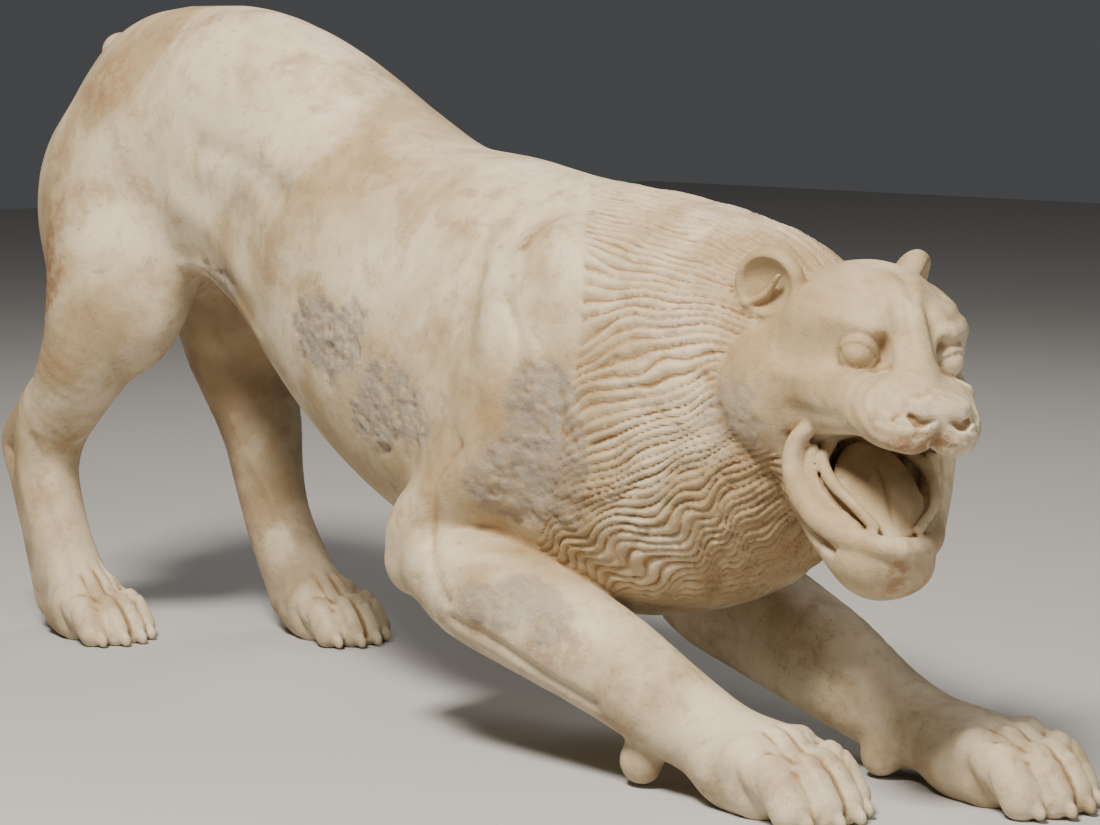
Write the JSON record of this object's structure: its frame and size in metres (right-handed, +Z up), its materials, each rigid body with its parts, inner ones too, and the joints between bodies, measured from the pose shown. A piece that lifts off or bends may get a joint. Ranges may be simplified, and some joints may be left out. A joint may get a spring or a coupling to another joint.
{
  "type": "lion statue",
  "caption": "Crouching lion carved in stone in one piece, rump high, forelegs stretched forward, head turned and jaws open; the tail is lost.",
  "frame": {"origin": "on the ground, under the centre of the statue's bounding box", "axes": "+X the way the lion's body faces, +Y its left side, +Z up"},
  "size_m": [1.6, 0.4148, 0.7947],
  "materials": {
    "marble": "worn cream marble with tan and brown patina"
  },
  "bodies": {
    "root": {"lion": "marble"}
  },
  "joints": []
}
